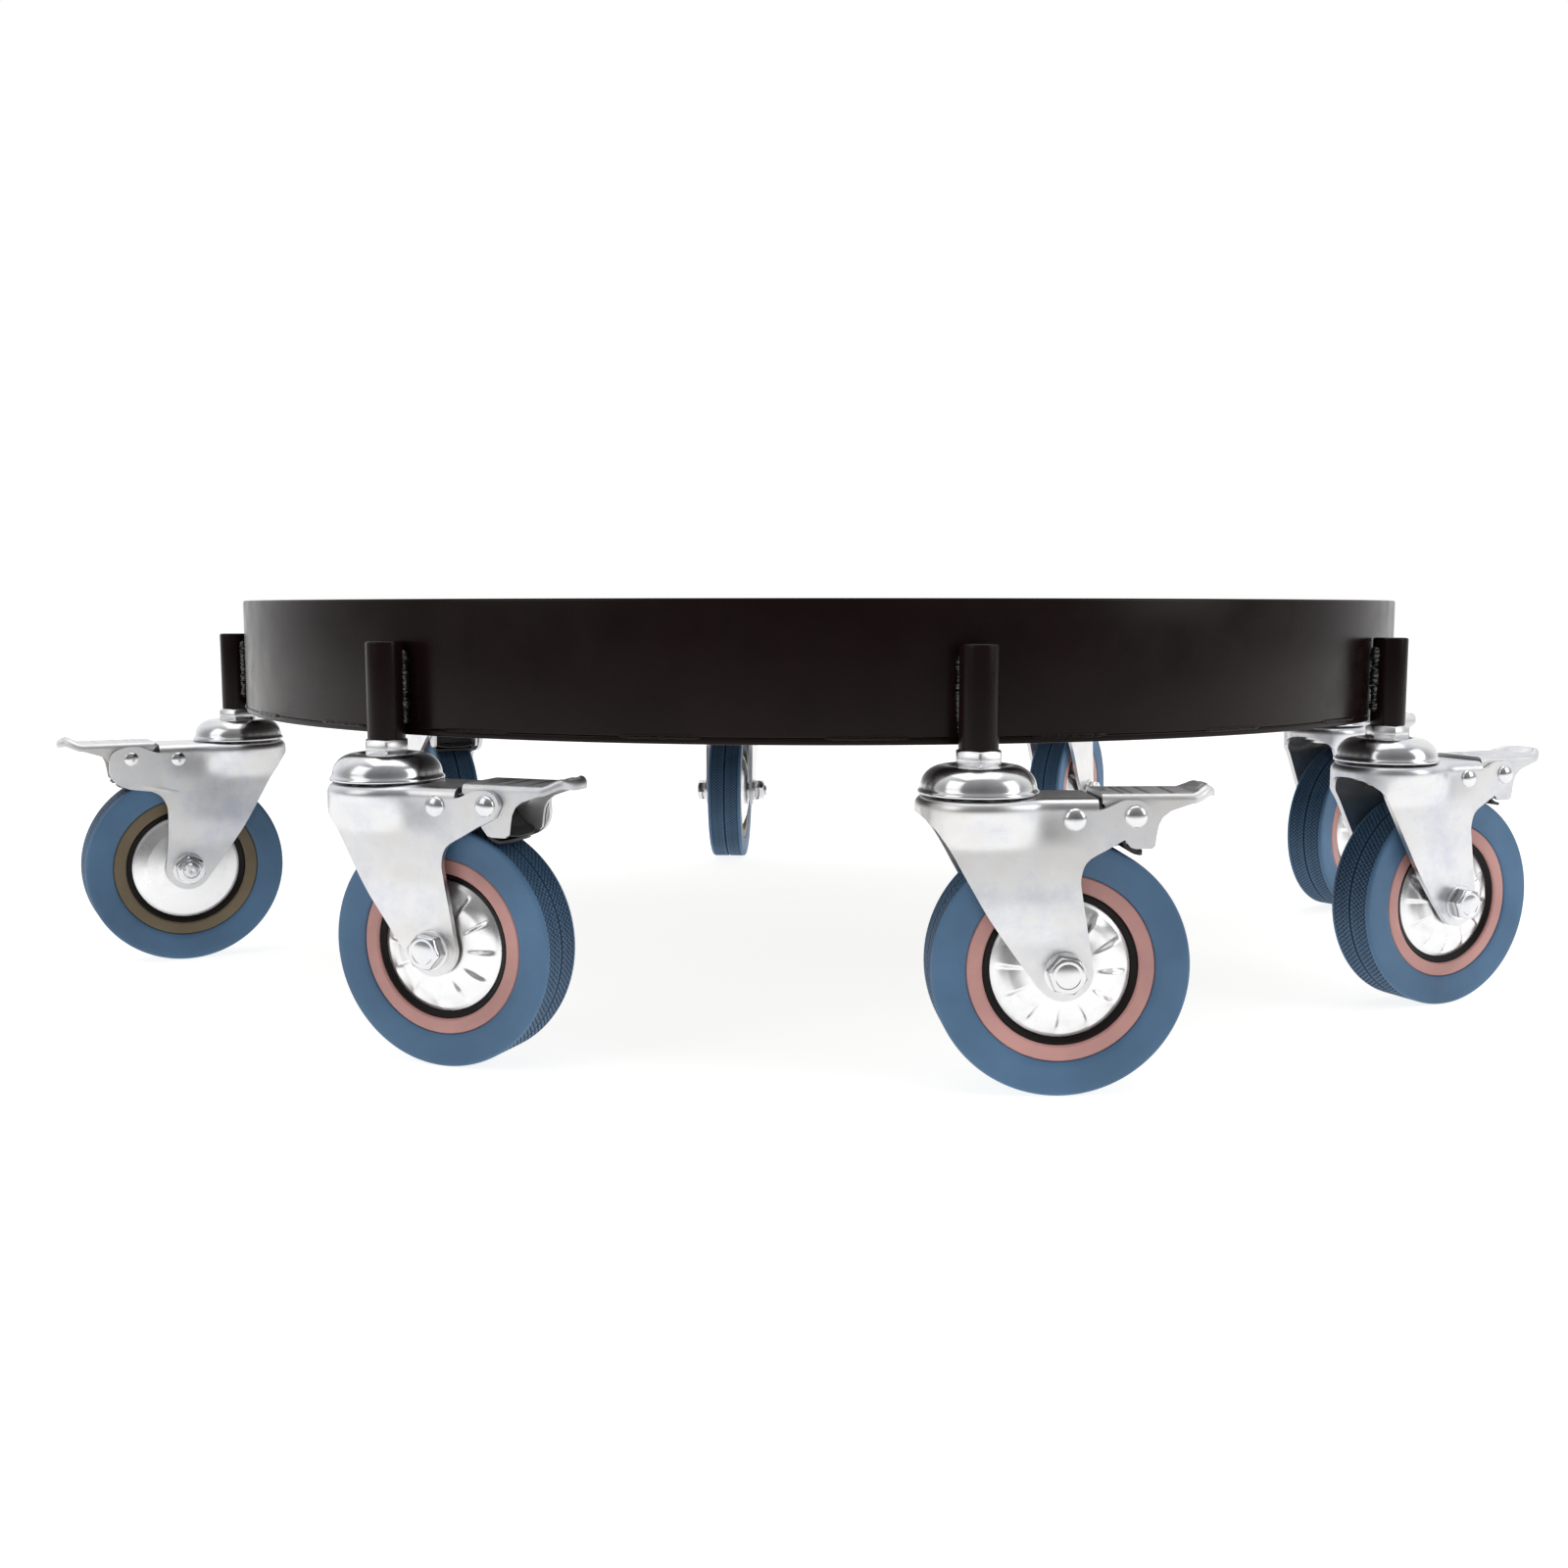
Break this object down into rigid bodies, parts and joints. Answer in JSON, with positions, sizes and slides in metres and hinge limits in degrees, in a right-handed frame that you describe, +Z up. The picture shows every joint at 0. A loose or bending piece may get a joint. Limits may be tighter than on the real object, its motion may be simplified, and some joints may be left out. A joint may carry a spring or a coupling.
{
  "type": "plant pot caddy",
  "caption": "Round steel pan for a heavy plant pot on a ring of braked swivel casters with blue rubber wheels.",
  "frame": {"origin": "middle of the pan floor's top face, where the pot stands", "axes": "+Z up, along the pan's axis; -Y points from the middle to caster 1, and the casters are numbered counter-clockwise seen from above"},
  "size_m": [0.8101, 0.6945, 0.191],
  "materials": {
    "black_paint": "semi-gloss powder coat",
    "zinc_plate": "bright zinc plating over stamped steel",
    "ball_steel": "polished steel",
    "blue_rubber": "satin rubber with a knurled tread",
    "core_plastic": "moulded plastic, salmon pink",
    "olive_plastic": "moulded plastic, olive brown",
    "black_plastic": "black moulded plastic"
  },
  "bodies": {
    "pan": {"band_ring": "black_paint", "floor_disc": "black_paint", "rim_welds": "black_paint", "caster_sockets": "black_paint", "socket_welds": "black_paint", "swivel_stems": "zinc_plate", "race_caps": "zinc_plate", "upper_ball_races": "ball_steel", "lower_ball_races": "ball_steel", "race_washers": "zinc_plate"},
    "caster_1": {"fork_1": "zinc_plate", "axle_set_1": "zinc_plate"},
    "wheel_1": {"tyre_1": "blue_rubber", "wheel_core_1": "core_plastic", "bearing_covers_1": "zinc_plate"},
    "pedal_1": {"brake_pedal_1": "zinc_plate"},
    "caster_2": {"fork_2": "zinc_plate", "axle_set_2": "zinc_plate"},
    "wheel_2": {"tyre_2": "blue_rubber", "wheel_core_2": "core_plastic", "bearing_covers_2": "zinc_plate"},
    "pedal_2": {"brake_pedal_2": "zinc_plate"},
    "caster_3": {"fork_3": "zinc_plate", "axle_set_3": "zinc_plate"},
    "wheel_3": {"tyre_3": "blue_rubber", "wheel_core_3": "core_plastic", "bearing_covers_3": "zinc_plate"},
    "pedal_3": {"brake_pedal_3": "zinc_plate"},
    "caster_4": {"fork_4": "zinc_plate", "axle_set_4": "zinc_plate"},
    "wheel_4": {"tyre_4": "blue_rubber", "wheel_core_4": "core_plastic", "bearing_covers_4": "zinc_plate"},
    "pedal_4": {"brake_pedal_4": "zinc_plate"},
    "caster_5": {"fork_5": "zinc_plate", "axle_set_5": "zinc_plate"},
    "wheel_5": {"tyre_5": "blue_rubber", "wheel_core_5": "core_plastic", "bearing_covers_5": "zinc_plate"},
    "pedal_5": {"brake_pedal_5": "zinc_plate"},
    "caster_6": {"fork_6": "zinc_plate", "axle_set_6": "zinc_plate"},
    "wheel_6": {"tyre_6": "blue_rubber", "wheel_core_6": "core_plastic", "bearing_covers_6": "zinc_plate"},
    "pedal_6": {"brake_pedal_6": "zinc_plate"},
    "caster_7": {"fork_7": "zinc_plate", "axle_set_7": "zinc_plate"},
    "wheel_7": {"tyre_7": "blue_rubber", "wheel_core_7": "core_plastic", "bearing_covers_7": "zinc_plate"},
    "pedal_7": {"brake_pedal_7": "zinc_plate"},
    "caster_8": {"fork_8": "zinc_plate", "axle_set_8": "zinc_plate"},
    "wheel_8": {"tyre_8": "blue_rubber", "wheel_core_8": "core_plastic", "bearing_covers_8": "zinc_plate"},
    "pedal_8": {"brake_pedal_8": "zinc_plate"}
  },
  "joints": [
    {"name": "swivel_1", "type": "hinge", "parent": "pan", "child": "caster_1", "pos_m": [0, -0.3203, -0.0875], "axis": [0, 0, 1], "continuous": true},
    {"name": "wheel_spin_1", "type": "hinge", "parent": "caster_1", "child": "wheel_1", "pos_m": [0.0307, -0.32461, -0.0875], "axis": [0.1392, 0.9903, 0], "continuous": true},
    {"name": "brake_1", "type": "hinge", "parent": "caster_1", "child": "pedal_1", "pos_m": [0.05645, -0.32823, -0.0282], "axis": [0.1392, 0.9903, 0], "range_deg": [0, 12]},
    {"name": "swivel_2", "type": "hinge", "parent": "pan", "child": "caster_2", "pos_m": [0.22649, -0.22649, -0.0875], "axis": [0, 0, 1], "continuous": true},
    {"name": "wheel_spin_2", "type": "hinge", "parent": "caster_2", "child": "wheel_2", "pos_m": [0.25656, -0.21899, -0.0875], "axis": [-0.2419, 0.9703, 0], "continuous": true},
    {"name": "brake_2", "type": "hinge", "parent": "caster_2", "child": "pedal_2", "pos_m": [0.28179, -0.2127, -0.0282], "axis": [-0.2419, 0.9703, 0], "range_deg": [0, 12]},
    {"name": "swivel_3", "type": "hinge", "parent": "pan", "child": "caster_3", "pos_m": [0.3203, 0, -0.0875], "axis": [0, 0, 1], "continuous": true},
    {"name": "wheel_spin_3", "type": "hinge", "parent": "caster_3", "child": "wheel_3", "pos_m": [0.34741, 0.01503, -0.0875], "axis": [-0.4848, 0.8746, 0], "continuous": true},
    {"name": "brake_3", "type": "hinge", "parent": "caster_3", "child": "pedal_3", "pos_m": [0.37015, 0.02763, -0.0282], "axis": [-0.4848, 0.8746, 0], "range_deg": [0, 12]},
    {"name": "swivel_4", "type": "hinge", "parent": "pan", "child": "caster_4", "pos_m": [0.22649, 0.22649, -0.0875], "axis": [0, 0, 1], "continuous": true},
    {"name": "wheel_spin_4", "type": "hinge", "parent": "caster_4", "child": "wheel_4", "pos_m": [0.24682, 0.24988, -0.0875], "axis": [-0.7547, 0.6561, 0], "continuous": true},
    {"name": "brake_4", "type": "hinge", "parent": "caster_4", "child": "pedal_4", "pos_m": [0.26388, 0.2695, -0.0282], "axis": [-0.7547, 0.6561, 0], "range_deg": [0, 12]},
    {"name": "swivel_5", "type": "hinge", "parent": "pan", "child": "caster_5", "pos_m": [0, 0.3203, -0.0875], "axis": [0, 0, 1], "continuous": true},
    {"name": "wheel_spin_5", "type": "hinge", "parent": "caster_5", "child": "wheel_5", "pos_m": [-0.0075, 0.29022, -0.0875], "axis": [0.9703, -0.2419, 0], "continuous": true},
    {"name": "brake_5", "type": "hinge", "parent": "caster_5", "child": "pedal_5", "pos_m": [-0.01379, 0.26499, -0.0282], "axis": [0.9703, -0.2419, 0], "range_deg": [0, 12]},
    {"name": "swivel_6", "type": "hinge", "parent": "pan", "child": "caster_6", "pos_m": [-0.22649, 0.22649, -0.0875], "axis": [0, 0, 1], "continuous": true},
    {"name": "wheel_spin_6", "type": "hinge", "parent": "caster_6", "child": "wheel_6", "pos_m": [-0.21794, 0.19669, -0.0875], "axis": [0.9613, 0.2756, 0], "continuous": true},
    {"name": "brake_6", "type": "hinge", "parent": "caster_6", "child": "pedal_6", "pos_m": [-0.21077, 0.17169, -0.0282], "axis": [0.9613, 0.2756, 0], "range_deg": [0, 12]},
    {"name": "swivel_7", "type": "hinge", "parent": "pan", "child": "caster_7", "pos_m": [-0.3203, 0, -0.0875], "axis": [0, 0, 1], "continuous": true},
    {"name": "wheel_spin_7", "type": "hinge", "parent": "caster_7", "child": "wheel_7", "pos_m": [-0.34961, -0.01009, -0.0875], "axis": [0.3256, -0.9455, 0], "continuous": true},
    {"name": "brake_7", "type": "hinge", "parent": "caster_7", "child": "pedal_7", "pos_m": [-0.37419, -0.01856, -0.0282], "axis": [0.3256, -0.9455, 0], "range_deg": [0, 12]},
    {"name": "swivel_8", "type": "hinge", "parent": "pan", "child": "caster_8", "pos_m": [-0.22649, -0.22649, -0.0875], "axis": [0, 0, 1], "continuous": true},
    {"name": "wheel_spin_8", "type": "hinge", "parent": "caster_8", "child": "wheel_8", "pos_m": [-0.19991, -0.24245, -0.0875], "axis": [0.515, 0.8572, 0], "continuous": true},
    {"name": "brake_8", "type": "hinge", "parent": "caster_8", "child": "pedal_8", "pos_m": [-0.17763, -0.25584, -0.0282], "axis": [0.515, 0.8572, 0], "range_deg": [0, 12]}
  ]
}
